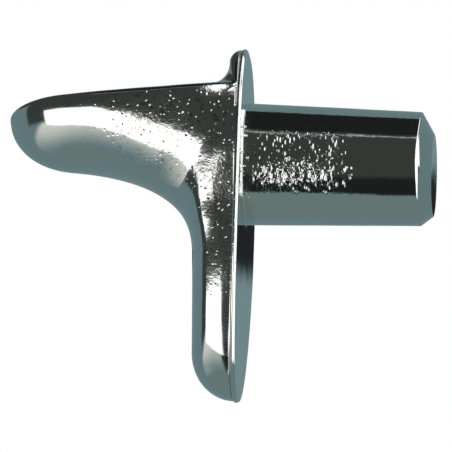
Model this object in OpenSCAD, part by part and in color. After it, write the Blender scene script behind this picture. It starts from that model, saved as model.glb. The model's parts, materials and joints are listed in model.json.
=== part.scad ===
// Shelf support pin: a one-piece zinc casting. A round peg goes into a hole in the
// cabinet side, an oval plate bears on the wood around that hole, and a spoon-shaped
// tongue carries the shelf. A lip of the plate stands up behind the shelf, and a boxy leg
// runs down below the tongue. The plate's flange stands out all round as a thin edge.
//
// The origin is the middle of the peg where it meets the plate's flat back.
// +X runs along the peg into the wood, the tongue reaches out along -X, +Z is up.

/* [Peg] */
// Diameter of the peg's straight land, for the hole in the cabinet side
peg_d = 5; // [4:0.25:6]
// Length of the peg from the plate's back to its end
peg_len = 7.65; // [6:0.05:12]
// Length of the straight land next to the plate
peg_land = 2; // [1:0.25:4]
// Draft of the peg beyond its land, in degrees a side
peg_draft = 1.7; // [0:0.1:3]
// Length of the chamfer on the peg's end
chamfer_len = 0.5; // [0.2:0.1:1]
// Radial depth of that chamfer
chamfer_in = 0.6; // [0.2:0.1:1]

/* [Plate] */
// Width of the oval plate
plate_w = 8; // [7.5:0.25:12]
// Height of the oval plate
plate_h = 14.5; // [13:0.25:20]
// How far the middle of the oval lies below the peg's axis
plate_drop = 2.5; // [1.5:0.1:3]
// How full the plate's outline is: 2 is a plain oval
oval_fullness = 2.2; // [2:0.1:2.8]
// Thickness of the flange
rim_t = 0.24; // [0.14:0.02:0.4]
// Draft of the flange's edge towards its back, in degrees
rim_draft = 20; // [0:1:25]
// How far lip, leg and tongue stand back from the flange's edge at the sides
ledge = 0.55; // [0.3:0.05:0.7]
// How far lip and leg stand back from the flange's edge at its top and foot
end_ledge = 0.08; // [0.05:0.01:0.2]
// How full the outline of lip and leg is: 2 is a plain oval
casting_fullness = 3; // [2.4:0.1:3.4]
// Thickness of the lip behind the shelf
lip_t = 0.75; // [0.5:0.05:1.2]
// Height over which the lip's top is rounded
lip_round = 0.6; // [0.3:0.05:0.9]
// How boxy the lip is across: 2 is a plain ellipse
lip_fullness = 3; // [2:0.1:4]

/* [Leg] */
// Thickness of the leg at the level of the peg's axis
leg_t = 2.2; // [1.6:0.05:3]
// Thickness of the leg just above its rounded foot
foot_t = 2; // [1.4:0.05:3]
// Height over which the leg's foot is rounded
foot_round = 2; // [1:0.1:3]
// How boxy the leg is across: 2 is a plain ellipse
leg_fullness = 4; // [2:0.1:5]
// How much narrower the leg is than the tongue's root, on each side
waist = 0.3; // [0:0.05:0.6]

/* [Tongue] */
// Reach of the tongue from the plate's back to its tip
reach = 9.8; // [8.5:0.1:14]
// Height of the seat above the peg's axis, at the plate's back
seat_z = 3.3; // [2.8:0.05:3.7]
// How much the seat falls towards the tip, in degrees
seat_fall = 5; // [0:0.5:8]
// Greatest width of the tongue
tongue_w = 6; // [5:0.1:8]
// Width of the tongue where it leaves the plate
root_w = 6.5; // [5.6:0.1:6.6]
// Depth of the tongue under its seat, halfway out
tongue_t = 3.4; // [2.6:0.1:4]
// How much that depth grows towards the plate, for each millimetre
tongue_rise = 0.15; // [0:0.01:0.25]
// How boxy the tongue's belly is across: 2 is a plain ellipse
belly_fullness = 2.2; // [2:0.1:3]
// How boxy the tongue is across where it leaves the plate
root_fullness = 4; // [2:0.1:5]
// Radius of the edge along the seat
edge_r = 0.3; // [0.1:0.05:0.5]
// How far the tip's foremost point lies below the seat
nose_drop = 0.75; // [0.5:0.05:1.5]
// Length over which the tip is rounded, seen from the side
nose_len = 2.4; // [1.5:0.1:3.5]
// How full the tip's underside is, seen from the side: 2 is a plain ellipse
chin_fullness = 2.2; // [2:0.1:2.6]
// Length over which the tip is rounded, seen from above
nose_plan = 5.5; // [3:0.1:6.5]

/* [Blends] */
// Size of the hollow between the seat and the lip
seat_fillet = 1.1; // [0.4:0.05:1.2]
// Size of the hollow where the tongue's flanks run into the leg's
side_fillet = 3; // [1:0.1:3.2]
// How far the throat under the tongue reaches out along the tongue
throat_out = 4.8; // [3:0.1:5]
// How far the throat reaches down the leg
throat_down = 2.9; // [1.5:0.1:4]

/* [Hidden] */

seat_steps = 5;      // half outline: steps across the flat seat,
edge_steps = 3;      // round its edge
belly_steps = 26;    // and down the flank to the middle of the belly
nose_steps = 8;      // along a rail: steps round the tip,
run_steps = 4;       // along the straight tongue,
blend_steps = 8;     // through the hollow
plate_steps = 12;    // and over the front of lip and leg
belly_bias = 1.4;    // spaces the belly's points evenly
back_spare = 0.3;    // the loft runs on this far behind the plate, to be cut flat
peg_sunk = 0.5;      // the peg starts this far inside the plate
widest_at = 4;       // distance from the plate at which the tongue reaches its width
t_given_at = 5;      // distance from the plate at which tongue_t and belly_fullness hold
waist_from = 1.6;    // height over the peg's axis at which the leg starts to narrow
waist_over = 3.4;    // and the height over which it narrows
leave_most = 0.75;   // the hollow takes at most this share of the way to the plate's edge
peg_fn = 96;

plate_mid = -plate_drop;
casting_h = plate_h / 2 - end_ledge;
plate_top = plate_mid + casting_h;
foot_z = plate_mid - casting_h + foot_round;
taper_r = peg_d / 2 - (peg_len - chamfer_len - peg_land) * tan(peg_draft);
tongue_len = (reach + nose_drop * sin(seat_fall)) / cos(seat_fall);
nose_x = nose_len - tongue_len;
plan_x = nose_plan - tongue_len;

function mix(a, b, q) = a + (b - a) * q;
function clamp(q) = min(max(q, 0), 1);
function ease(q) = let (c = clamp(q)) c * c * (3 - 2 * c);
function bulge(q, n) = pow(1 - pow(clamp(q), n), 1 / n);

// ---- The tongue, in a frame whose XY plane is the seat and whose origin is on the plate's back

function tongue_half(x) =
    mix(root_w, tongue_w, ease(-x / widest_at)) / 2 * bulge((plan_x - x) / nose_plan, 2);
function tongue_depth(x) = tongue_t + tongue_rise * (x + t_given_at);
function fullness(x) = mix(root_fullness, belly_fullness, ease((-x - lip_t) / t_given_at));

// The half outline runs from the middle of the seat to the middle of the belly.
// Each of its points is a zone and a share of that zone: 0 seat, 1 edge, 2 flank and belly.
half_outline = concat(
    [for (i = [0 : seat_steps - 1]) [0, i / seat_steps]],
    [for (i = [0 : edge_steps - 1]) [1, i / edge_steps]],
    [for (i = [0 : belly_steps]) [2, i / belly_steps]]
);

function section_point(p, w, depth, edge, boxy) =
    p[0] == 0 ? [p[1] * (w - edge), 0] :
    p[0] == 1 ? [w - edge + edge * sin(90 * p[1]), edge_r * (cos(90 * p[1]) - 1)] :
    let (a = 90 * (1 - pow(1 - p[1], belly_bias)), n = 2 / boxy)
    [w * pow(cos(a), n), -edge_r - (depth - edge_r) * pow(sin(a), n)];

function tongue_point(p, x) =
    let (w = tongue_half(x), chin = p[0] < 2 ? 2 : mix(2, chin_fullness, p[1]))
    let (k = bulge((nose_x - x) / nose_len, chin))
    let (s = section_point(p, w, tongue_depth(x), min(edge_r * k, 0.45 * w), fullness(x)))
    [x, s[0], mix(-nose_drop, s[1], k)];

// ---- The plate, in the part's own frame

function oval_half(z) = plate_w / 2 * bulge(abs(z - plate_mid) / (plate_h / 2), oval_fullness);

// Half width of lip and leg at a height: their own rounded outline, kept within the flange
function casting_half(z) =
    let (narrow = plate_w / 2 - ledge - waist * ease((waist_from - z) / waist_over))
    min(narrow * bulge(abs(z - plate_mid) / casting_h, casting_fullness), oval_half(z) - end_ledge);

// Share of the leg in the plate's form: none in the lip, all of it under the seat
function leg_share(z) = ease((seat_z - lip_t / 4 - z) / 2);
function lip_depth(z) = bulge((z - plate_top + lip_round) / lip_round, 2) * (lip_t - rim_t);
function leg_depth(z) =
    bulge((foot_z - z) / foot_round, 2) * (mix(leg_t, foot_t, clamp(z / foot_z)) - rim_t);

// Thickness of the plate at any place on its front
function plate_t(y, z) =
    let (w = casting_half(z), q = leg_share(z))
    w <= 0 ? rim_t :
    rim_t + mix(lip_depth(z), leg_depth(z), q) * bulge(abs(y) / w, mix(lip_fullness, leg_fullness, q));

// The points of the flange's edge and of the casting's edge on it that belong to a point
// of the half outline
edge_angle = asin((seat_z - edge_r - plate_mid) / (plate_h / 2));
flat_share = (1 - 2 * edge_r / root_w) * cos(edge_angle);
function rim_angle(p) =
    p[0] == 0 ? acos(p[1] * flat_share) :
    p[0] == 1 ? mix(acos(flat_share), edge_angle, p[1]) :
    mix(edge_angle, -90, p[1]);
function around(p, n) =
    let (a = rim_angle(p), up = sin(a))
    [pow(max(cos(a), 0), 2 / n), sign(up) * pow(abs(up), 2 / n)];
function rim_point(p, inset) =
    let (r = around(p, oval_fullness))
    [(plate_w / 2 - inset) * r[0], plate_mid + (plate_h / 2 - inset) * r[1]];
function casting_point(p) =
    let (r = around(p, casting_fullness), z = plate_mid + casting_h * r[1])
    [min((plate_w / 2 - ledge) * r[0], casting_half(z)), z];

// ---- Rails: one for each point of the outline, from the tip along the tongue,
// ---- through the hollow, over the plate's front and across the flange to its edge

function to_seat(v) =
    let (c = cos(seat_fall), s = sin(seat_fall), h = v[2] - seat_z)
    [v[0] * c + h * s, v[1], h * c - v[0] * s];
function from_seat(v) =
    let (c = cos(seat_fall), s = sin(seat_fall))
    [v[0] * c - v[2] * s, v[1], seat_z + v[2] * c + v[0] * s];
function curve(a, k, b, q) = (1 - q) * (1 - q) * a + 2 * q * (1 - q) * k + q * q * b;

// Size of the hollow at a point of the outline: small round the seat, wide in the throat
function hollow(p, throat) =
    p[0] < 2 ? seat_fillet :
    mix(seat_fillet, mix(side_fillet, throat, ease(2 * p[1])), ease(3 * p[1]));

function rail(p) =
    let (
        root = from_seat(tongue_point(p, -lip_t)),
        foot = casting_point(p),
        away = [foot[0] - root[1], foot[1] - root[2]],
        leave = min(hollow(p, throat_down) / max(norm(away), 0.001), leave_most),
        by = root[1] + away[0] * leave,
        bz = root[2] + away[1] * leave,
        b = to_seat([-plate_t(by, bz), by, bz]),
        corner_x = to_seat([-plate_t(by, bz), by, root[2]])[0],
        corner = tongue_point(p, corner_x),
        a = tongue_point(p, corner_x - hollow(p, throat_out))
    )
    concat(
        [for (i = [1 : nose_steps]) tongue_point(p, nose_x - nose_len * cos(90 * i / nose_steps))],
        [for (i = [1 : run_steps]) tongue_point(p, mix(nose_x, a[0], i / run_steps))],
        [for (i = [1 : blend_steps]) curve(a, corner, b, i / blend_steps)],
        [for (i = [1 : plate_steps - 1])
            let (q = sin(90 * i / plate_steps), y = mix(by, foot[0], q), z = mix(bz, foot[1], q))
            to_seat([-plate_t(y, z), y, z])],
        [to_seat([-rim_t, foot[0], foot[1]])],
        [for (x = [-rim_t, back_spare])
            let (rim = rim_point(p, (x + rim_t) * tan(rim_draft))) to_seat([x, rim[0], rim[1]])]
    );

function mirrored(v) = [v[0], -v[1], v[2]];

// The plate, leg, lip and tongue as one closed skin of rails, still open to the back by back_spare
module skin() {
    halves = [for (p = half_outline) rail(p)];
    last = len(halves) - 1;
    rails = concat(halves, [for (i = [last - 1 : -1 : 1]) [for (v = halves[i]) mirrored(v)]]);
    n = len(rails);
    m = len(rails[0]);
    tip = n * m;
    faces = concat(
        [for (i = [0 : n - 1]) [tip, (i + 1) % n * m, i * m]],
        [for (i = [0 : n - 1], j = [0 : m - 2])
            let (a = i * m + j, b = (i + 1) % n * m + j) each [[a, b + 1, a + 1], [a, b, b + 1]]],
        [[for (i = [0 : n - 1]) i * m + m - 1]]
    );
    points = concat([for (r = rails) each r], [[-tongue_len, 0, -nose_drop]]);
    translate([0, 0, seat_z]) rotate([0, -seat_fall, 0]) polyhedron(points, faces);
}

module casting() difference() {
    skin();
    translate([0, -plate_w, plate_mid - plate_h]) cube([4 * back_spare, 2 * plate_w, 2 * plate_h]);
}

module peg() rotate([0, 90, 0]) {
    translate([0, 0, -peg_sunk]) cylinder(d = peg_d, h = peg_sunk + peg_land, $fn = peg_fn);
    translate([0, 0, peg_land])
        cylinder(r1 = peg_d / 2, r2 = taper_r, h = peg_len - chamfer_len - peg_land, $fn = peg_fn);
    translate([0, 0, peg_len - chamfer_len])
        cylinder(r1 = taper_r, r2 = taper_r - chamfer_in, h = chamfer_len, $fn = peg_fn);
}

module support() color([0.62, 0.66, 0.66]) union() {
    casting();
    peg();
}

support();
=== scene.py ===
"""The finished look of the shelf support pin: its casting as one smooth skin, the nickel
plate on it, and the stage it is shown on. Lengths are in metres, in the part's own frame:
+X along the peg into the wood, -X out along the tongue, +Z up."""
import json
import math
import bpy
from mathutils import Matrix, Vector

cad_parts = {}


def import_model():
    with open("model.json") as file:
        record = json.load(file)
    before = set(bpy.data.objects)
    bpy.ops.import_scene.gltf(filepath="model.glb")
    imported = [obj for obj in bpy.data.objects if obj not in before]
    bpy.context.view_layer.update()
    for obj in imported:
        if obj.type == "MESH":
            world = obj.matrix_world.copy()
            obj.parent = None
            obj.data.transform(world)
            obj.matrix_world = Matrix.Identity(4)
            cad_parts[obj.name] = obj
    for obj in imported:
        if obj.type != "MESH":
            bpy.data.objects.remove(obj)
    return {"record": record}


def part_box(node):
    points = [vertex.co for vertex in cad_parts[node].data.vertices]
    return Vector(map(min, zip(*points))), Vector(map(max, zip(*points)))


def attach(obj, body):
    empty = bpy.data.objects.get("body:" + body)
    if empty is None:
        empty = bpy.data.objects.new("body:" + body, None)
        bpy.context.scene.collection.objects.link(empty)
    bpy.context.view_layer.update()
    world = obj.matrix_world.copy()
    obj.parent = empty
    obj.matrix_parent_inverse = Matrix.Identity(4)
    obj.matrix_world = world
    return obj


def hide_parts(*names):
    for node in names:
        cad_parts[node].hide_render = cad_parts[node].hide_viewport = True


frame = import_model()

from types import SimpleNamespace

import bmesh
import bpy
from bpy.props import FloatProperty, FloatVectorProperty, PointerProperty
from bpy.types import Operator, Panel, PropertyGroup
from mathutils import Matrix, Vector

bl_info = {
    "name": "Shelf support pin",
    "version": (1, 0, 0),
    "blender": (4, 5, 0),
    "location": "3D View > Sidebar > Support",
    "description": "Builds the nickel plated casting of a shelf support pin and its stage",
    "category": "Object",
}

MM = 0.001
NODE = "support"
PIECE = "plated_support"
SLOT = "nickel_plate"

LOW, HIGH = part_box(NODE)
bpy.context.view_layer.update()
MOUNTS = {mount["name"]: mount for mount in frame["record"]["mounts"]}
SEAT_POINT = Vector(MOUNTS["shelf_seat"]["pos_m"])
SEAT_AXIS = Vector(MOUNTS["shelf_seat"]["axis"])
SEAT_Z = SEAT_POINT.z + SEAT_POINT.x * SEAT_AXIS.x / SEAT_AXIS.z
SEAT_FALL = math.degrees(math.atan2(-SEAT_AXIS.x, SEAT_AXIS.z))
PEG_D = 2 * MOUNTS["peg"]["dims"]["r_mm"]

# Rails of the skin on either side of the middle. Those of the seat run from the tip over
# the seat and up the lip. Those of the flank run from the tip along the tongue, round the
# throat and down the leg. Those of the rim run from the flange round its back to the peg.
SEAT_RAILS = 16
EDGE_RAILS = 8
TOP_RAILS = SEAT_RAILS + EDGE_RAILS
FLANK_RAILS = 92
LEG_STEPS = 110
RIM_RAILS = TOP_RAILS + LEG_STEPS

# Steps along the rails, strip by strip
NOSE_STEPS = 28
RUN_STEPS = 36
TURN_STEPS = 28
FAN_STEPS = 16
LIP_STEPS = 24
LEDGE_STEPS = 2
BEVEL_STEPS = 6
EDGE_STEPS = 2
CORNER_STEPS = 5
BACK_STEPS = 14
PEG_STEPS = 60
END_STEPS = 14

QUARTER_TURN = math.pi / 2
WELD = 1e-4 * MM                    # points closer than this become one
SHORT_RULING = 1e-2 * MM            # length to which the shortest rulings are rounded up

BELLY_BIAS = 1.4                    # spaces the rails evenly down the belly
FAN_FROM = 0.4                      # share of the throat at which its rulings reach the corner
FAN_TO = 0.6                        # between seat and plate, and at which they leave it
END_LEDGE = 0.15                    # share of the ledge at the plate's top and foot
END_FLAT = 0.93                     # share of the end face that is flat
LIP_TOP_FROM = math.radians(62)     # place on the oval from which the lip's back is rounder
LIP_TOP_OVER = math.radians(20)     # and the angle over which it gets so
HOLLOW_MOST = 0.75                  # share of the way to the lip's edge that the hollow may take
SEAT_EDGE_MOST = 0.45               # share of the half width that the seat's edge may take
BACK_ROUND_MOST = 0.6               # share of the flange's edge that its back round may take
SAG_FROM = 2.5 * MM                 # distance from the plate's back about which the peg tilts
BOW_FROM = 2.0 * MM                 # distance in front of the plate's back up to which it bows,
BOW_OVER = 3.0 * MM                 # and over which the bow fades out in front of that
BOW_BEHIND = 1.0 * MM               # and behind the plate's back
SHOULDER_FLOOR = 0.4                # share of the chamfer's round that is left above and below,
SHOULDER_SIDES = 1.3                # the share that comes on top of it at the sides,
SHOULDER_POWER = 8.0                # and how closely it keeps to them


# ---- Sizes and colours that can be changed


def height(name, description, millimetres, **limits):
    """A height over the peg's axis, which may lie below it, given in millimetres."""
    return FloatProperty(
        name=name, description=description, default=millimetres * MM,
        precision=5, subtype="DISTANCE", unit="LENGTH", **limits,
    )


def length(name, description, millimetres):
    """A length property, given in millimetres and kept in metres."""
    return height(name, description, millimetres, min=0.0)


def angle(name, description, degrees):
    """An angle property, given in degrees and kept in radians."""
    return FloatProperty(
        name=name, description=description, default=math.radians(degrees),
        subtype="ANGLE", unit="ROTATION",
    )


def number(name, description, default):
    """A plain number property."""
    return FloatProperty(name=name, description=description, default=default)


def colour(name, description, red_green_blue):
    """A colour property."""
    return FloatVectorProperty(
        name=name, description=description, default=red_green_blue,
        size=3, min=0.0, max=1.0, subtype="COLOR",
    )


class PegSizes(PropertyGroup):
    """Sizes of the peg that goes into the cabinet side."""

    peg_d: length("Peg diameter", "Diameter of the peg at the plate", PEG_D)
    peg_len: length("Peg length", "Length of the peg from the plate's back", HIGH.x / MM)
    peg_draft: angle("Peg draft", "Draft of the peg's side", 1.3)
    root_round: length("Root fillet", "Fillet between the peg and the plate", 0.012)
    chamfer_len: length("Chamfer length", "Length of the chamfer on the end", 0.52)
    chamfer_in: length("Chamfer depth", "Radial depth of the chamfer", 0.66)
    chamfer_low: length("Chamfer offset", "How far the end face lies below the axis", 0.06)
    chamfer_skew: number("Chamfer skew", "Share by which the chamfer is deeper on top", 0.30)
    peg_sag: angle("Peg sag", "Tilt of the peg's end towards the floor", 0.7)
    chamfer_round: length("Chamfer round", "Rounding of the chamfer's edges", 0.1)


class PlateSizes(PropertyGroup):
    """Sizes of the oval plate, the lip above the seat and the leg below it."""

    plate_w: length("Plate width", "Width of the oval plate", (HIGH.y - LOW.y) / MM)
    plate_h: length("Plate height", "Height of the oval plate", (HIGH.z - LOW.z) / MM)
    oval_fullness: number("Oval fullness", "How full the oval is: 2 is an ellipse", 2.2)
    plate_mid: height("Plate middle", "Height of the oval's middle", (HIGH.z + LOW.z) / 2 / MM)
    rim_t: length("Flange thickness", "Thickness of the flange round the casting", 0.24)
    rim_front: length("Flange front round", "Rounding of the flange's front edge", 0.12)
    rim_draft: angle("Flange draft", "Draft of the flange's edge towards its back", 20.0)
    ledge: length("Ledge", "How far the casting stands back from the flange's edge", 0.55)
    casting_fullness: number("Casting fullness", "How full the casting's outline is", 3.0)
    rim_round: length("Back edge round", "Rounding of the flange's back edge", 0.025)
    lip_back_round: length("Lip back round", "Rounding of the lip's back at its top", 0.26)
    lip_t: length("Lip thickness", "Thickness of the lip behind the shelf", 0.75)
    lip_round: length("Lip round", "Height over which the lip's top is rounded", 0.6)
    lip_fullness: number("Lip fullness", "How boxy the lip is across", 3.0)
    leg_t: length("Leg thickness", "Thickness of the leg at the peg's axis", 2.24)
    foot_t: length("Foot thickness", "Thickness of the leg above its foot", 1.98)
    foot_round: length("Foot round", "Height over which the foot is rounded", 1.92)
    leg_corner: length("Leg corner", "Depth of the rounding along the leg's front edges", 1.6)
    leg_fullness: number("Leg fullness", "How boxy that rounding is", 3.0)
    waist: length("Waist", "How much narrower the leg is on each side than the lip", 0.38)
    waist_over: length("Waist over", "Height over which the width changes", 3.6)
    waist_from: length("Waist from", "Height over the peg's axis at which that starts", 1.6)
    bow: length("Bow", "How far the plate's foot bends away from the cabinet", 0.15)
    bow_mid: height("Bow middle", "Height at which the plate lies closest to the cabinet", -1.1)


class TongueSizes(PropertyGroup):
    """Sizes of the tongue that carries the shelf, and of its hollows."""

    reach: length("Reach", "Reach of the tongue from the plate's back", -LOW.x / MM)
    seat_z: height("Seat height", "Height of the seat at the plate's back", SEAT_Z / MM)
    seat_wear: length("Seat wear", "How much the polishing took off the seat", 0.07)
    seat_fall: angle("Seat fall", "Fall of the seat towards the tip", SEAT_FALL)
    tongue_w: length("Tongue width", "Greatest width of the tongue", 6.0)
    root_w: length("Root width", "Width of the tongue where it leaves the plate", 6.5)
    root_over: length("Root over", "Distance over which the flank leaves the plate's outline", 2.5)
    root_low: length("Root low", "Height over which that changes from leg to seat", 3.0)
    tongue_t: length("Tongue depth", "Depth of the tongue under its seat, halfway out", 3.4)
    tongue_rise: number("Depth growth", "Growth of that depth towards the plate", 0.15)
    belly_fullness: number("Belly fullness", "How boxy the belly is across", 2.2)
    edge_r: length("Seat edge", "Radius of the edge along the seat", 0.3)
    nose_drop: length("Nose drop", "Height of the tip's foremost point under the seat", 0.75)
    nose_len: length("Nose length", "Length of the tip's rounding in side view", 2.4)
    nose_plan: length("Nose in plan", "Length of the tip's rounding from above", 5.5)
    chin_fullness: number("Chin fullness", "How full the tip is underneath", 2.25)
    widest_at: length("Widest at", "Distance from the plate at which it is widest", 4.0)
    depth_at: length("Depth at", "Distance from the plate at which its depth is given", 5.0)
    seat_fillet: length("Seat hollow", "Size of the hollow between seat and lip", 1.5)
    throat_out: length("Throat reach", "Reach of the throat along the tongue", 5.1)
    throat_down: length("Throat drop", "Reach of the throat down the leg", 3.0)


class SurfaceSizes(PropertyGroup):
    """Sizes of the casting's unevenness."""

    wave_len: length("Wave length", "Length of the shallow waves in the casting", 1.6)
    wave_depth: length("Wave depth", "Depth of the shallow waves in the casting", 0.02)


# ---- Node trees written as sums


class Graph:
    """Adds nodes to one node tree."""

    def __init__(self, tree):
        self.tree = tree

    def node(self, kind, settings=None, values=None, output=0):
        """Adds a node, with its settings first and then the values or links of its inputs."""
        made = self.tree.nodes.new(kind)
        for name, setting in (settings or {}).items():
            setattr(made, name, setting)
        for key, given in (values or {}).items():
            for value in given if isinstance(given, list) else [given]:
                if isinstance(value, Value):
                    self.tree.links.new(value.socket, made.inputs[key])
                else:
                    made.inputs[key].default_value = value
        return Value(self, made.outputs[output] if made.outputs else None, made)

    def math(self, operation, *terms):
        """Adds a Math node."""
        return self.node("ShaderNodeMath", {"operation": operation}, dict(enumerate(terms)))

    def vectors(self, operation, values):
        """Adds a Vector Math node."""
        return self.node("ShaderNodeVectorMath", {"operation": operation}, values)


def adds_node(operation, reflected=False):
    """The method behind an operator of Value, which adds a Math node."""
    def method(self, *other):
        terms = (*other, self) if reflected else (self, *other)
        return self.graph.math(operation, *terms)
    return method


class Value:
    """A socket of a node tree. A sum on it adds Math nodes to its tree."""

    def __init__(self, graph, socket, made):
        self.graph = graph
        self.socket = socket
        self.made = made

    def out(self, name):
        """Another output of the same node."""
        return Value(self.graph, self.made.outputs[name], self.made)

    __add__ = __radd__ = adds_node("ADD")
    __sub__ = adds_node("SUBTRACT")
    __rsub__ = adds_node("SUBTRACT", reflected=True)
    __mul__ = __rmul__ = adds_node("MULTIPLY")
    __truediv__ = adds_node("DIVIDE")
    __rtruediv__ = adds_node("DIVIDE", reflected=True)
    __pow__ = adds_node("POWER")
    __abs__ = adds_node("ABSOLUTE")

    def __neg__(self):
        return self.graph.math("MULTIPLY", self, -1.0)


def sine(a):
    return a.graph.math("SINE", a) if isinstance(a, Value) else math.sin(a)


def cosine(a):
    return a.graph.math("COSINE", a) if isinstance(a, Value) else math.cos(a)


def root(a):
    return a.graph.math("SQRT", a)


def at_least(a, low):
    return a.graph.math("MAXIMUM", a, low)


def at_most(a, high):
    return a.graph.math("MINIMUM", a, high)


def clamp(q):
    return q.graph.node("ShaderNodeClamp", values={"Value": q})


def mix(a, b, q):
    """A number between a and b, at the share q."""
    graph = next(value.graph for value in (q, a, b) if isinstance(value, Value))
    settings = {"data_type": "FLOAT", "clamp_factor": False}
    return graph.node("ShaderNodeMix", settings, {0: q, 2: a, 3: b})


def ease(q):
    """Goes from 0 to 1 with level ends."""
    return q.graph.node("ShaderNodeMapRange", {"interpolation_type": "SMOOTHSTEP"}, {"Value": q})


def bulge(q, fullness):
    """Height of a rounded form at the share q of its half width: 1 in the middle, 0 at the edge."""
    return (1.0 - clamp(q) ** fullness) ** (1.0 / fullness)


def curve(a, corner, b, q):
    """A point on the curve from a to b that leaves and arrives towards the corner."""
    p = 1.0 - q
    return [p * p * u + 2.0 * p * q * v + q * q * w for u, v, w in zip(a, corner, b)]


def window(q, low, high, soft):
    """1 between low and high, fading out over soft outside them."""
    return ease((q - low + soft) / soft) * ease((high + soft - q) / soft)


def blend(q, a, b):
    """A colour between the colours a and b, at the share q."""
    ends = {
        key: end if isinstance(end, Value) else (*end, 1.0) for key, end in ((6, a), (7, b))
    }
    return q.graph.node("ShaderNodeMix", {"data_type": "RGBA"}, {0: q, **ends}, output=2)


def parts_of(vector):
    """The x, y and z of a vector."""
    apart = vector.graph.node("ShaderNodeSeparateXYZ", values={"Vector": vector})
    return apart.out("X"), apart.out("Y"), apart.out("Z")


def noise(place, pitch, detail, roughness=0.5):
    """Random numbers about one half that change smoothly over the pitch."""
    return place.graph.node(
        "ShaderNodeTexNoise", {"noise_dimensions": "3D"},
        {"Vector": place, "Scale": 1.0 / pitch, "Detail": detail, "Roughness": roughness},
    )


def moved(geometry, **place):
    """The geometry with its points at a new Position, or moved by an Offset."""
    values = {"Geometry": geometry, **place}
    return geometry.graph.node("GeometryNodeSetPosition", values=values)


def emptied(block):
    """The graph of a material's or a world's node tree, with nothing in it yet."""
    block.use_nodes = True
    block.node_tree.nodes.clear()
    return Graph(block.node_tree)


def added(name, data):
    """A new object that holds the data, in the scene."""
    made = bpy.data.objects.new(name, data)
    bpy.context.scene.collection.objects.link(made)
    return made


# ---- The casting's skin


class Form:
    """The casting's form, worked out from its sizes, which are Values.

    The tongue's own frame has the seat as its XY plane. Points are lists of x, y and z."""

    def __init__(self, graph, size):
        self.size = size
        self.seat_z = size.seat_z - size.seat_wear
        self.fall_cos = cosine(size.seat_fall)
        self.fall_sin = sine(size.seat_fall)
        self.casting_h = size.plate_h / 2 - size.ledge * END_LEDGE
        self.lip_from = size.plate_mid + self.casting_h - size.lip_round
        self.foot_z = size.plate_mid - self.casting_h + size.foot_round
        self.tongue_len = (size.reach + size.nose_drop * self.fall_sin) / self.fall_cos
        self.nose_x = size.nose_len - self.tongue_len
        self.plan_x = size.nose_plan - self.tongue_len
        # The corner between seat and plate, on the line under the seat's rounded edge
        self.corner_x = (-size.rim_t - size.edge_r * self.fall_sin) / self.fall_cos
        self.corner_z = self.from_seat(self.corner_x, 0.0, -size.edge_r)[2]
        self.corner_angle = graph.math("ARCSINE", (self.corner_z - size.plate_mid) / self.casting_h)
        self.corner_half = self.casting_half(self.corner_z)
        # The throat's three points, in side view
        belly_z = self.from_seat(-size.lip_t, 0.0, -self.depth(-size.lip_t))[2]
        self.throat_z = belly_z - size.throat_down
        front = -self.leg_front(self.throat_z)
        turn_x = self.seat_x(front, belly_z)
        self.leaving_x = at_least(turn_x - size.throat_out, self.nose_x)
        self.throat = [
            self.from_seat(self.leaving_x, 0.0, -self.depth(self.leaving_x)),
            self.from_seat(turn_x, 0.0, -self.depth(turn_x)),
            [front, 0.0, self.throat_z],
        ]

    def from_seat(self, x, y, z):
        """Turns a point of the tongue's frame into the part's frame."""
        c, s = self.fall_cos, self.fall_sin
        return [x * c - z * s, y, self.seat_z + z * c + x * s]

    def seat_x(self, x, z):
        """Distance of a place of the part's frame along the seat."""
        return x * self.fall_cos + (z - self.seat_z) * self.fall_sin

    def depth(self, x):
        """Depth of the tongue under its seat."""
        return self.size.tongue_t + self.size.tongue_rise * (x + self.size.depth_at)

    def casting_half(self, z):
        """Half width of lip and leg at a height, which stays within the flange."""
        s = self.size
        share = abs(z - s.plate_mid)
        waist = s.waist * ease((s.waist_from - z) / s.waist_over)
        free = (s.plate_w / 2 - s.ledge - waist) * bulge(share / self.casting_h, s.casting_fullness)
        flange = s.plate_w / 2 * bulge(share / (s.plate_h / 2), s.oval_fullness)
        return at_most(free, at_least(flange - s.ledge * END_LEDGE, 0.0))

    def half_width(self, seat_x, x, z):
        """Half width of the casting at a place in side view: the tongue's own out there,
        and that of the plate's outline at the plate and all down the leg."""
        s = self.size
        grown = mix(s.root_w, s.tongue_w, ease(-seat_x / s.widest_at)) / 2
        out_there = grown * bulge((self.plan_x - seat_x) / s.nose_plan, 2.0)
        start = mix(s.leg_t, s.rim_t, ease((z + s.root_low) / s.root_low))
        return mix(self.casting_half(z), out_there, ease((-x - start) / s.root_over))

    def leg_front(self, z):
        """Distance of the leg's front from the plate's back."""
        s = self.size
        full = mix(s.leg_t, s.foot_t, clamp(z / self.foot_z)) - s.rim_t
        return s.rim_t + full * bulge((self.foot_z - z) / s.foot_round, 2.0)


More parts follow.
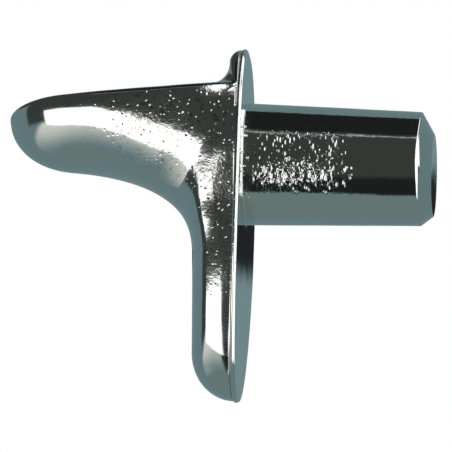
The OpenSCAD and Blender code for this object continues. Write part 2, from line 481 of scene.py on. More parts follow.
class Rails:
    """The rules that place the points of one part of the skin.

    A rail's number on its side and the step along it come from the point's index in a
    grid, so one rule serves all rails of a strip."""

    def __init__(self, graph, form, rails):
        self.graph = graph
        self.form = form
        self.size = form.size
        self.rails = rails
        columns = 2 * rails + 1
        index = graph.node("GeometryNodeInputIndex")
        self.row = graph.math("FLOOR", (index + 0.5) / columns)
        from_middle = index - self.row * columns - rails
        self.side = graph.math("SIGN", from_middle)
        self.count = abs(from_middle)

    def strip(self, rule, steps):
        """One band of the skin: a grid whose points the rule puts in place."""
        points = {"Vertices X": steps + 1, "Vertices Y": 2 * self.rails + 1}
        grid = self.graph.node("GeometryNodeMeshGrid", values=points)
        x, y, z = rule(self.row / steps)
        place = self.graph.node("ShaderNodeCombineXYZ", values={"X": x, "Y": y * self.side, "Z": z})
        return moved(grid, Position=place)

    def strips(self):
        """All bands of this part of the skin, each from its rule and its steps."""
        return [self.strip(rule, steps) for rule, steps in self.bands()]

    def seat_share(self):
        """Place of a rail across the flat of the seat: 0 in its middle, 1 at its edge."""
        return clamp(self.count / SEAT_RAILS)

    def edge_angle(self):
        """Turn of a rail round the seat's edge, from the flat to the flank."""
        return QUARTER_TURN * clamp((self.count - SEAT_RAILS) / EDGE_RAILS)

    def top_angle(self):
        """The place on the plate's outline of a rail of the seat, as an angle from +Y up."""
        form = self.form
        edge_share = form.size.edge_r / form.corner_half
        across = self.seat_share() * (1.0 - edge_share) + edge_share * sine(self.edge_angle())
        return self.graph.math("ARCCOSINE", at_most(across, 1.0) * cosine(form.corner_angle))


class TongueRails(Rails):
    """Rails that start at the tongue's tip. Their on_tongue gives a rail's point by its
    distance along the seat."""

    def nose(self, t):
        return self.on_tongue(self.form.nose_x - self.size.nose_len * cosine(t * QUARTER_TURN))

    def run(self, t):
        return self.on_tongue(mix(self.form.nose_x, self.form.leaving_x, t))


class Seat(TongueRails):
    """The seat with its rounded edges, the hollow behind it and the lip."""

    def __init__(self, graph, form):
        size = form.size
        super().__init__(graph, form, TOP_RAILS)
        self.across = self.seat_share()
        self.edge_turn = self.edge_angle()
        # The hollow leaves the seat before the corner and lands on the lip, on the way from
        # the rail's end on the seat to its end on the flange
        _, root_y, root_z = self.on_tongue(form.corner_x)
        end_z = size.plate_mid + form.casting_h * sine(self.top_angle())
        self.end = [form.casting_half(end_z), end_z]
        out, up = self.end[0] - root_y, self.end[1] - root_z
        gap = at_least(root(out * out + up * up), WELD)
        hollow = size.seat_fillet * (1.0 - sine(self.edge_turn) ** 2.0)
        leave = at_most(hollow / gap, HOLLOW_MOST)
        y = root_y + out * leave
        z = root_z + up * leave
        depth = self.lip_front(y, z)
        turn_x = form.seat_x(-depth, root_z)
        self.landing = [-depth, y, z]
        self.turn = self.on_tongue(turn_x)
        self.hollow_x = turn_x - hollow
        self.hollow_start = self.on_tongue(self.hollow_x)

    def on_tongue(self, x):
        s = self.size
        half = self.form.half_width(x, *self.form.from_seat(x, 0.0, -s.edge_r)[::2])
        k = bulge((self.form.nose_x - x) / s.nose_len, 2.0)
        edge = at_most(s.edge_r * k, half * SEAT_EDGE_MOST)
        y = self.across * (half - edge) + edge * sine(self.edge_turn)
        edge_drop = s.edge_r * (cosine(self.edge_turn) - 1.0)
        return self.form.from_seat(x, y, mix(-s.nose_drop, edge_drop, k))

    def lip_front(self, y, z):
        """Distance of the lip's front from the plate's back."""
        s = self.size
        full = bulge((z - self.form.lip_from) / s.lip_round, 2.0) * (s.lip_t - s.rim_t)
        across = abs(y) / at_least(self.form.casting_half(z), WELD)
        return s.rim_t + full * bulge(across, s.lip_fullness)

    def to_hollow(self, t):
        return self.on_tongue(mix(self.form.leaving_x, self.hollow_x, t))

    def hollow(self, t):
        return curve(self.hollow_start, self.turn, self.landing, t)

    def lip(self, t):
        q = sine(t * QUARTER_TURN)
        y = mix(self.landing[1], self.end[0], q)
        z = mix(self.landing[2], self.end[1], q)
        # The last row lies on the flange itself
        before_end = self.graph.math("LESS_THAN", t, 1.0)
        return [-mix(self.size.rim_t, self.lip_front(y, z), before_end), y, z]

    def bands(self):
        return (
            (self.nose, NOSE_STEPS), (self.run, RUN_STEPS), (self.to_hollow, TURN_STEPS),
            (self.hollow, FAN_STEPS), (self.lip, LIP_STEPS),
        )


class Flank(TongueRails):
    """The flanks and the belly of the tongue, the throat and the leg: one L in side view.

    Each step is a ruling in side view, from the L's outside to its inside."""

    def __init__(self, graph, form):
        super().__init__(graph, form, FLANK_RAILS)
        # Its rails run the other way round the tongue, so that its faces point outwards too
        self.side = -self.side
        self.on_belly = 1.0 - self.count / FLANK_RAILS
        turn = QUARTER_TURN * (1.0 - (1.0 - self.on_belly) ** BELLY_BIAS)
        self.turn_sin = sine(turn)

    def between(self, outside, inside, rounded, fullness, seat_x=None):
        """The rail's point on the ruling between two points in side view.

        The ruling is flat from the outside and rounded over its last share."""
        share = self.turn_sin ** (2.0 / self.size.belly_fullness)
        x = mix(outside[0], inside[0], share)
        z = mix(outside[1], inside[1], share)
        half = self.form.half_width(seat_x or self.form.seat_x(x, z), x, z)
        return [x, half * bulge((share - 1.0) / rounded + 1.0, fullness), z]

    def turning(self, outside, inside, t):
        """The rail's point on the ruling at the share t of the throat.

        The rounding shrinks from that of the tongue to that of the leg's front edge, half of
        it before the corner and half after it."""
        s = self.size
        across = outside[0] - inside[0]
        down = outside[1] - inside[1]
        ruling = root(across * across + down * down + SHORT_RULING ** 2)
        corner = at_most(s.leg_corner / ruling, 1.0)
        turned = (ease(t / FAN_FROM) + ease((t - FAN_TO) / (1.0 - FAN_TO))) / 2.0
        fullness = mix(s.belly_fullness, s.leg_fullness, turned)
        return self.between(outside, inside, mix(1.0, corner, turned), fullness)

    def on_tongue(self, x):
        s = self.size
        k = bulge((self.form.nose_x - x) / s.nose_len, mix(2.0, s.chin_fullness, self.on_belly))
        outside = self.form.from_seat(x, 0.0, mix(-s.nose_drop, -s.edge_r, k))[::2]
        inside = self.form.from_seat(x, 0.0, mix(-s.nose_drop, -self.form.depth(x), k))[::2]
        return self.between(outside, inside, 1.0, s.belly_fullness, seat_x=x)

    def in_throat(self, t):
        """The throat's line at its share t, in side view."""
        return curve(*self.form.throat, t)[::2]

    def to_corner(self, t):
        x = mix(self.form.leaving_x, self.form.corner_x, t)
        outside = self.form.from_seat(x, 0.0, -self.size.edge_r)[::2]
        return self.turning(outside, self.in_throat(t * FAN_FROM), t * FAN_FROM)

    def fan(self, t):
        at = mix(FAN_FROM, FAN_TO, t)
        return self.turning([-self.size.rim_t, self.form.corner_z], self.in_throat(at), at)

    def leg(self, t):
        form = self.form
        z = self.size.plate_mid + form.casting_h * sine(mix(form.corner_angle, -QUARTER_TURN, t))
        at = mix(FAN_TO, 1.0, clamp((form.corner_z - z) / (form.corner_z - form.throat_z)))
        x, throat_z = self.in_throat(at)
        # Under the throat the inside follows the leg's front down to the foot
        low = at_most(z, form.throat_z)
        x = x + form.leg_front(form.throat_z) - form.leg_front(low)
        inside = [x, throat_z + low - form.throat_z]
        return self.turning([-self.size.rim_t, z], inside, at)

    def bands(self):
        return (
            (self.nose, NOSE_STEPS), (self.run, RUN_STEPS), (self.to_corner, TURN_STEPS),
            (self.fan, FAN_STEPS), (self.leg, LEG_STEPS),
        )


class Rim(Rails):
    """The flange round the casting, the plate's back and the peg."""

    def __init__(self, graph, form):
        size = form.size
        super().__init__(graph, form, RIM_RAILS)
        down = clamp((self.count - TOP_RAILS) / LEG_STEPS)
        self.rim_angle = self.top_angle() + (-QUARTER_TURN - form.corner_angle) * down
        self.peg_angle = QUARTER_TURN - self.count * (math.pi / RIM_RAILS)
        self.peg_taper = graph.math("TANGENT", size.peg_draft)
        self.peg_slope = graph.math("TANGENT", size.peg_sag)
        self.chamfer_in = size.chamfer_in * (1.0 + size.chamfer_skew * sine(self.peg_angle))
        self.shoulder_x = size.peg_len - size.chamfer_len
        at_sides = abs(cosine(self.peg_angle)) ** SHOULDER_POWER
        self.shoulder_round = size.chamfer_round * (SHOULDER_FLOOR + SHOULDER_SIDES * at_sides)
        self.corner_share = self.shoulder_round / (size.chamfer_len + size.chamfer_in)

    def oval(self, inset):
        """The rail's point on the flange's outline, or a little way inside it."""
        s = self.size
        across = at_least(cosine(self.rim_angle), 0.0)
        up = sine(self.rim_angle)
        y = (s.plate_w / 2 - inset) * across ** (2.0 / s.oval_fullness)
        rise = self.graph.math("SIGN", up) * abs(up) ** (2.0 / s.oval_fullness)
        return [y, s.plate_mid + (s.plate_h / 2 - inset) * rise]

    def shelf(self, t):
        s = self.size
        foot_z = s.plate_mid + self.form.casting_h * sine(self.rim_angle)
        y, z = self.oval(s.rim_front)
        return [-s.rim_t, mix(self.form.casting_half(foot_z), y, t), mix(foot_z, z, t)]

    def bevel(self, t):
        s = self.size
        turn = t * QUARTER_TURN
        y, z = self.oval(s.rim_front * (1.0 - sine(turn)))
        return [-s.rim_t + s.rim_front * (1.0 - cosine(turn)), y, z]

    def back_round(self):
        """Rounding of the flange's back edge, which is wider at the top of the lip."""
        s = self.size
        near_top = ease((self.rim_angle - LIP_TOP_FROM) / LIP_TOP_OVER)
        return mix(s.rim_round, s.lip_back_round, near_top)

    def back_round_x(self):
        """That rounding's size along the edge, which stays within its straight part."""
        straight = self.size.rim_t - self.size.rim_front
        return at_most(self.back_round(), straight * BACK_ROUND_MOST)

    def edge_inset(self, x):
        """How far the drafted edge stands back at a place along the peg's axis."""
        s = self.size
        return (x + s.rim_t - s.rim_front) * self.graph.math("TANGENT", s.rim_draft)

    def edge(self, t):
        s = self.size
        x = mix(s.rim_front - s.rim_t, -self.back_round_x(), t)
        y, z = self.oval(self.edge_inset(x))
        return [x, y, z]

    def back_edge(self, turn):
        """A point of the rounding between the flange's edge and its back."""
        inset = self.edge_inset(-self.back_round_x()) + self.back_round() * (1.0 - cosine(turn))
        y, z = self.oval(inset)
        return [self.back_round_x() * (sine(turn) - 1.0), y, z]

    def back_corner(self, t):
        return self.back_edge(t * QUARTER_TURN)

    def around_peg(self, x, radius, drop=0.0):
        sag = (x - SAG_FROM) * self.peg_slope
        return [x, radius * cosine(self.peg_angle), radius * sine(self.peg_angle) - drop - sag]

    def on_fillet(self, turn):
        """A point of the fillet at the peg's root, by its turn from the back to the peg."""
        s = self.size
        out = self.peg_radius(s.root_round) + s.root_round * (1.0 - sine(turn))
        return self.around_peg(s.root_round * (1.0 - cosine(turn)), out)

    def back(self, t):
        _, y, z = self.back_edge(QUARTER_TURN)
        _, ring_y, ring_z = self.on_fillet(0.0)
        return [0.0, mix(y, ring_y, t), mix(z, ring_z, t)]

    def root_fillet(self, t):
        return self.on_fillet(t * QUARTER_TURN)

    def peg_radius(self, x):
        return self.size.peg_d / 2 - x * self.peg_taper

    def on_peg(self, x):
        return self.around_peg(x, self.peg_radius(x))

    def on_chamfer(self, share):
        s = self.size
        x = self.shoulder_x + s.chamfer_len * share
        radius = self.peg_radius(self.shoulder_x) - self.chamfer_in * share
        return self.around_peg(x, radius, s.chamfer_low * share)

    def on_end(self, share):
        """A point of the end face, from its edge (1) to its middle (0)."""
        s = self.size
        radius = self.peg_radius(self.shoulder_x) - self.chamfer_in
        return self.around_peg(s.peg_len, radius * share, s.chamfer_low)

    def peg_side(self, t):
        return self.on_peg(mix(self.size.root_round, self.shoulder_x - self.shoulder_round, t))

    def shoulder(self, t):
        start = self.on_peg(self.shoulder_x - self.shoulder_round)
        return curve(start, self.on_chamfer(0.0), self.on_chamfer(self.corner_share), t)

    def chamfer(self, t):
        return self.on_chamfer(mix(self.corner_share, 1.0 - self.corner_share, t))

    def end_edge(self, t):
        start = self.on_chamfer(1.0 - self.corner_share)
        return curve(start, self.on_chamfer(1.0), self.on_end(END_FLAT), t)

    def end_face(self, t):
        return self.on_end(END_FLAT * (1.0 - t))

    def bands(self):
        return (
            (self.shelf, LEDGE_STEPS), (self.bevel, BEVEL_STEPS), (self.edge, EDGE_STEPS),
            (self.back_corner, CORNER_STEPS), (self.back, BACK_STEPS),
            (self.root_fillet, CORNER_STEPS), (self.peg_side, PEG_STEPS),
            (self.shoulder, CORNER_STEPS), (self.chamfer, CORNER_STEPS),
            (self.end_edge, CORNER_STEPS), (self.end_face, END_STEPS),
        )


def bent(graph, size, geometry):
    """Bends the plate's ends a little away from the cabinet, as cooling left them."""
    x, _, z = parts_of(graph.node("GeometryNodeInputPosition"))
    near_plate = (1.0 - ease((-x - BOW_FROM) / BOW_OVER)) * (1.0 - ease(x / BOW_BEHIND))
    far = (z - size.bow_mid) / (size.plate_mid - size.plate_h / 2 - size.bow_mid)
    shift = graph.node("ShaderNodeCombineXYZ", values={"X": -size.bow * far * far * near_plate})
    return moved(geometry, Offset=shift)


def uneven(graph, size, geometry):
    """Lets the skin sink here and there by a hair, as a polished casting does."""
    place = graph.node("GeometryNodeInputPosition")
    normal = graph.node("GeometryNodeInputNormal")
    waves = noise(place, size.wave_len, detail=1.0)
    sink = graph.vectors("SCALE", {0: normal, "Scale": -size.wave_depth * waves})
    return moved(geometry, Offset=sink)


def size_groups(scene):
    """The groups of sizes that shape the casting."""
    return [scene.support_peg, scene.support_plate, scene.support_tongue, scene.support_surface]


def names_in(group):
    """Names of the properties of a group, without the ones that Blender adds."""
    names = [prop.identifier for prop in group.bl_rna.properties]
    return [name for name in names if name not in ("rna_type", "name")]


def add_step(holder, name, groups, shape):
    """Adds a Geometry Nodes modifier whose tree has an input for each size of the groups.

    shape gets the graph, the sizes as Values and the geometry so far, and returns the new one."""
    tree = bpy.data.node_groups.new(name, "GeometryNodeTree")
    tree.interface.new_socket("Casting", in_out="OUTPUT", socket_type="NodeSocketGeometry")
    tree.interface.new_socket("So far", in_out="INPUT", socket_type="NodeSocketGeometry")
    modifier = holder.modifiers.new(name, "NODES")
    sizes = {}
    for group in groups:
        for size in names_in(group):
            socket = tree.interface.new_socket(size, in_out="INPUT", socket_type="NodeSocketFloat")
            sizes[size] = (socket.identifier, getattr(group, size))
    graph = Graph(tree)
    given = graph.node("NodeGroupInput")
    size = SimpleNamespace(**{name: given.out(name) for name in sizes})
    graph.node("NodeGroupOutput", values={"Casting": shape(graph, size, given.out("So far"))})
    modifier.node_group = tree
    for identifier, value in sizes.values():
        modifier[identifier] = value


def add_rails(rails):
    """The step that adds the strips of one part of the skin."""
    return lambda graph, size, so_far: graph.node(
        "GeometryNodeJoinGeometry",
        values={"Geometry": [so_far, *rails(graph, Form(graph, size)).strips()]},
    )


def finish_skin(material):
    """The step that welds the strips to one skin and gives it its small faults and its plate."""
    def shape(graph, size, so_far):
        strips = {"Geometry": so_far, "Distance": WELD}
        welded = graph.node("GeometryNodeMergeByDistance", values=strips)
        shaped = uneven(graph, size, bent(graph, size, welded))
        smooth = graph.node("GeometryNodeSetShadeSmooth", values={"Geometry": shaped})
        real = graph.node("GeometryNodeRealizeInstances", values={"Geometry": smooth})
        plated = {"Geometry": real, "Material": material}
        return graph.node("GeometryNodeSetMaterial", values=plated)
    return shape


def made_plain(holder):
    """Puts the result of the object's modifiers on it as a plain mesh."""
    graph = bpy.context.evaluated_depsgraph_get()
    mesh = bpy.data.meshes.new_from_object(holder.evaluated_get(graph))
    holder.modifiers.clear()
    holder.data = mesh
    mesh.name = holder.name
    return holder


# ---- Nickel plate


class NickelSettings(PropertyGroup):
    """The look of the nickel plate."""

    metal: colour("Metal", "Colour of the clean nickel", (0.62, 0.645, 0.63))
    tarnish: colour("Tarnish", "Colour of the metal where it is tarnished", (0.34, 0.28, 0.23))
    gloss: number("Roughness", "Roughness of the polished plate", 0.07)
    dull: number("Dull roughness", "Roughness where the cast skin is deepest", 0.14)
    grain: length("Grain", "Size of the grain in the cast skin", 0.22)
    grain_depth: length("Grain depth", "Depth of the grain in the cast skin", 0.012)
    pit_pitch: length("Pit spacing", "Spacing of the pits in the cast skin", 0.19)
    pit_size: length("Pit size", "Radius of the largest pits", 0.09)
    pit_depth: length("Pit depth", "Depth of a pit", 0.028)
    polished_from: length("Polished from", "Distance from the junction where it starts", 3.0)
    polished_over: length("Polished over", "Distance over which the cast skin fades out", 3.6)
    scuff_size: length("Scuff size", "Half width of a scuff on the peg", 0.07)
    scuff_depth: length("Scuff depth", "Depth of a scuff on the peg", 0.03)
    ring_pitch: length("Ring pitch", "Spacing of the fine rings round the peg", 0.16)
    ring_depth: length("Ring depth", "Depth of the fine rings round the peg", 0.0012)


# Where the cast skin lies: on the flanks round the junction of tongue, leg and peg
JUNCTION_X = 1.2 * MM               # distance of the junction's middle from the plate's back
PEG_OVER = 0.5 * MM                 # distance behind the plate's back over which the peg begins
SIDEWAYS_FROM = 0.55                # sideways share of a face's normal from which the skin shows,
SIDEWAYS_OVER = 0.4                 # and the growth of it over which it does so fully

# How rough it is: deeper in patches than between them
GRAIN_SHARPNESS = 0.6               # strength of each finer layer of the grain
PATCH_GRAINS = 6.0                  # size of a patch, in grains
PATCH_FROM = 0.35                   # level of the noise from which a patch begins,
PATCH_OVER = 0.3                    # and over which it gets deep
BETWEEN_PATCHES = 0.45              # depth of the skin between the patches
PIT_SHARE = 0.55                    # share of the cells that hold a pit
LEAST_PIT = 0.5                     # radius of the smallest pit, as a share of the largest
TARNISH_BELOW = 0.44                # level of the grain below which it is tarnished,
TARNISH_OVER = 0.12                 # and over which it gets so

# How strong the grain is on the flanks, on the peg, and on top of that where the peg is
# scuffed, and how deep the pits are there
FLANK_GRAIN = 0.8
PEG_GRAIN = 0.3
SCUFFED_GRAIN = 2.2
SCUFFED_PITS = 0.5

# Scuffs on the peg: where they lie along and up it, from, to and fading out over
SCUFFED_ALONG = (1.5 * MM, 3.4 * MM, 1.5 * MM)
SCUFFED_UP = (-0.6 * MM, 0.5 * MM, 0.9 * MM)
SCUFF_SHAPE = (1.0, 0.35, 0.35)     # draws them out across the peg
SCUFF_SPACING = 1.6                 # in scuffs
SCUFF_SHARE = 0.8


def hollows(place, pitch, radius, share):
    """Small round hollows strewn over the skin: 1 in the middle of each, 0 between them.

    One cell in so many holds a hollow, as the share says, and no two are alike."""
    graph = place.graph
    cells = graph.node("ShaderNodeTexVoronoi", values={"Vector": place, "Scale": 1.0 / pitch})
    luck, size, _ = parts_of(cells.out("Color"))
    reach = radius / pitch * mix(LEAST_PIT, 1.0, size)
    held = graph.math("LESS_THAN", luck, share)
    return held * clamp(1.0 - cells.out("Distance") / reach) ** 2.0


def nickel(look):
    """The material of the whole casting: pitted near the junction, polished at its ends."""
    material = bpy.data.materials.new(SLOT)
    graph = emptied(material)
    place = graph.node("ShaderNodeTexCoord", output="Object")
    x, _, z = parts_of(place)
    _, sideways, _ = parts_of(place.out("Normal"))
    on_peg = ease(x / PEG_OVER)
    on_flank = ease((abs(sideways) - SIDEWAYS_FROM) / SIDEWAYS_OVER) * (1.0 - on_peg)
    from_junction = root((x + JUNCTION_X) ** 2.0 + z ** 2.0)
    polished = ease((from_junction - look.polished_from) / look.polished_over)

    grain = noise(place, look.grain, 2.0, GRAIN_SHARPNESS)
    patches = ease((noise(place, PATCH_GRAINS * look.grain, 2.0) - PATCH_FROM) / PATCH_OVER)
    depth = (1.0 - polished) * on_flank * mix(BETWEEN_PATCHES, 1.0, patches)
    pits = hollows(place, look.pit_pitch, look.pit_size, PIT_SHARE)

    scuffed = on_peg * window(x, *SCUFFED_ALONG) * window(z, *SCUFFED_UP)
    drawn = graph.vectors("MULTIPLY", {0: place, 1: SCUFF_SHAPE})
    scuffs = hollows(drawn, SCUFF_SPACING * look.scuff_size, look.scuff_size, SCUFF_SHARE)
    rings = graph.node(
        "ShaderNodeTexNoise", {"noise_dimensions": "1D"},
        {"W": x / look.ring_pitch, "Scale": 1.0, "Detail": 2.0},
    )

    grained = FLANK_GRAIN * depth + on_peg * (PEG_GRAIN + SCUFFED_GRAIN * scuffed)
    pitted = depth + SCUFFED_PITS * scuffed
    relief = grain * grained * look.grain_depth - pits * pitted * look.pit_depth
    relief = relief + rings * on_peg * look.ring_depth - scuffs * scuffed * look.scuff_depth
    bump = {"Height": relief, "Distance": 1.0, "Strength": 1.0}
    surface = graph.node("ShaderNodeBump", values=bump)
    tarnished = ease((TARNISH_BELOW - grain) / TARNISH_OVER) * depth
    tone = blend(tarnished, look.metal, look.tarnish)
    shader = graph.node(
        "ShaderNodeBsdfPrincipled",
        values={
            "Base Color": tone, "Metallic": 1.0,
            "Roughness": mix(look.gloss, look.dull, depth), "Normal": surface,
        },
    )
    graph.node("ShaderNodeOutputMaterial", values={"Surface": shader})
    return material


# ---- Stage


class StageSettings(PropertyGroup):
    """The camera, the floor, the lights and the tent."""

    azimuth: angle("Azimuth", "Turn of the camera round the part", 5.28)
    elevation: angle("Elevation", "Height of the camera over the level, as an angle", -4.96)
    roll: angle("Roll", "Turn of the camera on its own axis", 1.36)
    distance: length("Distance", "Distance of the camera from the part", 400.0)
    frame_width: length("Frame width", "Width that the camera sees at the part", 18.47)
    aim_right: number("Aim right", "Middle of the view, from the origin, in millimetres", -0.893)
    aim_up: number("Aim up", "Middle of the view, from the origin, in millimetres", -2.488)
    floor_drop: length("Floor drop", "Depth of the floor under the origin", 250.0)
    floor_width: length("Floor width", "Width of the floor", 3000.0)
    floor_tone: colour("Floor colour", "Colour of the floor", (0.85, 0.85, 0.85))
    level: number("Level", "Strength of the plain light from all round", 0.9)
    tent_radius: length("Tent radius", "Radius of the tent of card round the part", 200.0)
    lamp_distance: length("Lamp distance", "Distance of the lamps from the part", 150.0)


# Lamps by where they stand, seen from the part: azimuth from the front and elevation, both
# in degrees, width and height as angles, and how bright they are
LAMPS = {
    "softbox": (-35.5, -21.0, 53.0, 32.0, 1.2),
    "skylight": (-20.0, 70.0, 50.0, 40.0, 1.2),
}

BLACK = (0.016, 0.018, 0.018)
DARK = (0.052, 0.060, 0.055)
DIM = (0.55, 0.55, 0.50)
WALL = (0.185, 0.275, 0.295)
GROUND = (0.20, 0.275, 0.265)
GLOW = (0.95, 0.94, 0.86)
LIGHT = (1.9, 1.88, 1.84)

# The tent's wall turns to ground below this elevation, over so many degrees
GROUND_FROM = -55.0
GROUND_OVER = 10.0

# The glow round the light card at the lower left. Azimuths of its sides and elevations of
# its top and of where it starts to fade, each with the degrees over which that happens.
# Left of the bend its top falls with the slope.
SPILL = SimpleNamespace(
    left=-125.0, left_over=63.0, right=-5.0, right_over=6.0, top=-8.0, top_over=8.0,
    fade=-14.0, fade_over=46.0, bend=-62.0, slope=0.7,
)

# The light strip overhead, in the x and z of the direction to it
STRIP_ACROSS = (0.12, 0.34, 0.03)
STRIP_FROM = 0.8
STRIP_OVER = 0.06

# The cards of the tent, each over the ones before it: azimuths of its sides, elevation of
# its foot at its left and at its right side and of its top, softness of its sides, foot
# and top, all in degrees, and its colour
CARDS = (
    ((-84.0, 80.0), (-5.0, -5.0, 64.0), (6.0, 2.0, 2.0), DARK),
    ((-163.0, -80.0), (22.0, 22.0, 64.0), (10.0, 8.0, 2.0), DARK),
    # The two black cards low behind the part are painted shadow: the part's own shadow behind it,
    # which the plate's back reflects as a dark band under the peg.
    ((160.0, 181.0), (3.5, 3.5, 5.0), (6.0, 0.5, 0.4), BLACK),
    ((-181.0, -160.0), (3.5, 3.5, 5.0), (6.0, 0.5, 0.4), BLACK),
    ((-84.0, -62.0), (-12.0, -12.0, 0.0), (6.0, 6.0, 2.0), DARK),
    ((-9.0, 60.0), (-58.0, -58.0, -4.0), (4.0, 4.0, 2.0), DARK),
    ((-9.0, 60.0), (-56.0, -56.0, -30.0), (4.0, 6.0, 12.0), BLACK),
    ((-180.0, 180.0), (66.0, 66.0, 90.0), (1.0, 3.0, 1.0), BLACK),
    ((-60.0, 10.0), (59.5, 59.5, 61.0), (4.0, 1.0, 1.0), DIM),
    ((-62.0, -9.0), (-18.0, -37.0, -3.5), (1.0, 1.5, 1.0), LIGHT),
    ((14.0, 50.0), (-62.0, -62.0, 66.0), (2.0, 2.0, 2.0), LIGHT),
    ((36.0, 88.0), (5.0, 5.0, 44.0), (3.0, 3.0, 3.0), LIGHT),
)


def direction(azimuth, elevation):
    """A direction from the part, by its azimuth from the front and its elevation."""
    return Vector((
        math.sin(azimuth) * math.cos(elevation),
        -math.cos(azimuth) * math.cos(elevation),
        math.sin(elevation),
    ))


def camera(settings):
    """A long lens at the part's front, a little to the peg's side and from below."""
    roll = settings.roll
    back = direction(settings.azimuth, settings.elevation)
    level = Vector((math.cos(settings.azimuth), math.sin(settings.azimuth), 0.0))
    rise = back.cross(level)
    right = level * math.cos(roll) + rise * math.sin(roll)
    up = rise * math.cos(roll) - level * math.sin(roll)
    data = bpy.data.cameras.new("camera")
    data.lens = data.sensor_width * settings.distance / settings.frame_width
    data.clip_start = settings.distance / 100
    data.clip_end = settings.distance * 10
    eye = added("camera", data)
    turn = Matrix((right, up, back)).transposed()
    aim = (right * settings.aim_right + up * settings.aim_up) * MM
    eye.matrix_world = Matrix.Translation(aim + back * settings.distance) @ turn.to_4x4()
    bpy.context.scene.camera = eye


def lamps(settings):
    """Soft lamps round the part, each facing it."""
    across = 2 * settings.lamp_distance
    for name, (*place, wide, high, bright) in LAMPS.items():
        azimuth, elevation = map(math.radians, place)
        towards = direction(azimuth, elevation)
        lamp = bpy.data.lights.new(name, "AREA")
        lamp.shape = "RECTANGLE"
        lamp.size = across * math.tan(math.radians(wide) / 2) * math.cos(elevation)
        lamp.size_y = across * math.tan(math.radians(high) / 2)
        lamp.energy = bright * math.pi * lamp.size * lamp.size_y
        holder = added(name, lamp)
        turn = towards.to_track_quat("Z", "Y").to_matrix().to_4x4()
        holder.matrix_world = Matrix.Translation(towards * settings.lamp_distance) @ turn
        holder.visible_camera = False
        holder.visible_glossy = False


def world(settings):
    """Plain light from all round, and white behind the part. The metal would show that white
    too, but the tent stands in front of it."""
    made = bpy.data.worlds.new("studio")
    graph = emptied(made)
    ray = graph.node("ShaderNodeLightPath")
    seen = ray.out("Is Camera Ray") + ray.out("Is Glossy Ray") + ray.out("Is Transmission Ray")
    background = graph.node(
        "ShaderNodeBackground",
        values={"Color": (1.0, 1.0, 1.0, 1.0), "Strength": mix(settings.level, 1.0, clamp(seen))},
    )
    graph.node("ShaderNodeOutputWorld", values={"Surface": background})
    bpy.context.scene.world = made


def mesh_object(name, build, material):
    """An object made with bmesh, with its material."""
    mesh = bpy.data.meshes.new(name)
    body = bmesh.new()
    build(body)
    body.to_mesh(mesh)
    body.free()
    mesh.materials.append(material)
    return added(name, mesh)


def floor(settings):
    """A wide pale floor under the part."""
    material = bpy.data.materials.new("floor")
    graph = emptied(material)
    matt = {"Roughness": 1.0, "Specular IOR Level": 0.0}
    shader = graph.node(
        "ShaderNodeBsdfPrincipled", values={"Base Color": (*settings.floor_tone, 1.0), **matt},
    )
    graph.node("ShaderNodeOutputMaterial", values={"Surface": shader})
    place = Matrix.Translation((0.0, 0.0, -settings.floor_drop))
    mesh_object(
        "floor",
        lambda body: bmesh.ops.create_grid(body, size=settings.floor_width / 2, matrix=place),
        material,
    )


def spilled(azimuth, elevation):
    """How strong the glow round the light card is in a direction."""
    top = SPILL.top - SPILL.slope * at_least(SPILL.bend - azimuth, 0.0)
    left = ease((azimuth - SPILL.left) / SPILL.left_over)
    right = ease((SPILL.right - azimuth) / SPILL.right_over)
    faded = ease((SPILL.fade - elevation) / SPILL.fade_over)
    return left * right * ease((top - elevation) / SPILL.top_over) * (1.0 - faded)


def tent(settings):
    """A tent round the part for the metal to reflect: a grey wall and ground, dark cards in
    front, at the left and overhead, a painted shadow behind, and a few light ones.

    Only reflections see it, so it neither shades the part nor hides it."""
    material = bpy.data.materials.new("cards")
    graph = emptied(material)
    place = graph.node("ShaderNodeTexCoord", output="Object")
    towards = graph.vectors("NORMALIZE", {0: place})
    x, y, z = parts_of(towards)
    elevation = graph.math("ARCSINE", z) * math.degrees(1.0)
    azimuth = graph.math("ARCTAN2", x, -y) * math.degrees(1.0)
    tone = blend(ease((GROUND_FROM - elevation) / GROUND_OVER), WALL, GROUND)
    tone = blend(spilled(azimuth, elevation), tone, GLOW)
    for (left, right), (foot_left, foot_right, top), softness, card in CARDS:
        side_soft, foot_soft, top_soft = softness
        foot = foot_left + (foot_right - foot_left) / (right - left) * (azimuth - left)
        held = window(azimuth, left, right, side_soft) * ease((elevation - foot) / foot_soft + 1.0)
        tone = blend(held * ease((top - elevation) / top_soft + 1.0), tone, card)
    strip = window(x, *STRIP_ACROSS) * ease((z - STRIP_FROM) / STRIP_OVER)
    tone = blend(strip, tone, LIGHT)
    shader = graph.node("ShaderNodeEmission", values={"Color": tone, "Strength": 1.0})
    graph.node("ShaderNodeOutputMaterial", values={"Surface": shader})
    cards = mesh_object(
        "cards",
        lambda body: bmesh.ops.create_icosphere(body, subdivisions=4, radius=settings.tent_radius),
        material,
    )
    cards.visible_camera = False
    cards.visible_diffuse = False
    cards.visible_shadow = False
    cards.visible_transmission = False


# ---- Operators and panel


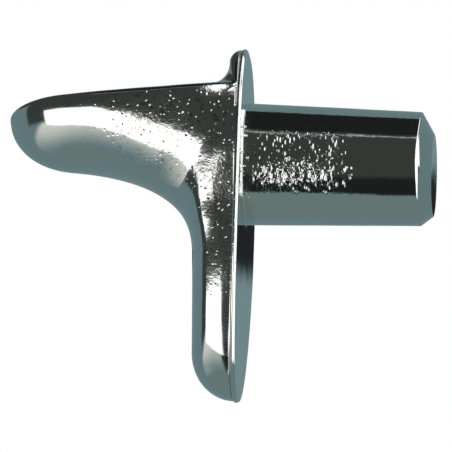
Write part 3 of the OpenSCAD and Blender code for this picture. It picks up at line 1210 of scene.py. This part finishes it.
class SUPPORT_OT_casting(Operator):
    """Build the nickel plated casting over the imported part"""

    bl_idname = "support.casting"
    bl_label = "Casting"

    def execute(self, context):
        peg, plate, tongue, surface = size_groups(context.scene)
        holder = added(PIECE, bpy.data.meshes.new(PIECE))
        add_step(holder, "seat", (plate, tongue), add_rails(Seat))
        add_step(holder, "flank", (plate, tongue), add_rails(Flank))
        add_step(holder, "rim", (peg, plate, tongue), add_rails(Rim))
        plating = nickel(context.scene.support_nickel)
        add_step(holder, "skin", (plate, surface), finish_skin(plating))
        piece = made_plain(holder)
        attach(piece, "root")
        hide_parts(NODE)
        return {"FINISHED"}


class SUPPORT_OT_stage(Operator):
    """Set up the camera, the floor, the lights and the tent"""

    bl_idname = "support.stage"
    bl_label = "Stage"

    def execute(self, context):
        for step in (camera, lamps, world, floor, tent):
            step(context.scene.support_stage)
        context.scene.view_settings.view_transform = "Standard"
        return {"FINISHED"}


class SUPPORT_PT_panel(Panel):
    """Sizes and steps of the shelf support pin"""

    bl_idname = "SUPPORT_PT_panel"
    bl_label = "Shelf support pin"
    bl_space_type = "VIEW_3D"
    bl_region_type = "UI"
    bl_category = "Support"

    def draw(self, context):
        scene = context.scene
        for group in [*size_groups(scene), scene.support_nickel, scene.support_stage]:
            box = self.layout.box()
            for name in names_in(group):
                box.prop(group, name)
        self.layout.operator(SUPPORT_OT_casting.bl_idname)
        self.layout.operator(SUPPORT_OT_stage.bl_idname)


GROUPS = {
    "support_peg": PegSizes,
    "support_plate": PlateSizes,
    "support_tongue": TongueSizes,
    "support_surface": SurfaceSizes,
    "support_nickel": NickelSettings,
    "support_stage": StageSettings,
}
CLASSES = (*GROUPS.values(), SUPPORT_OT_casting, SUPPORT_OT_stage, SUPPORT_PT_panel)


def register():
    for cls in CLASSES:
        bpy.utils.register_class(cls)
    for name, cls in GROUPS.items():
        setattr(bpy.types.Scene, name, PointerProperty(type=cls))


def unregister():
    for name in GROUPS:
        delattr(bpy.types.Scene, name)
    for cls in reversed(CLASSES):
        bpy.utils.unregister_class(cls)


def main():
    register()
    bpy.ops.support.casting()
    bpy.ops.support.stage()


if __name__ == "__main__":
    main()
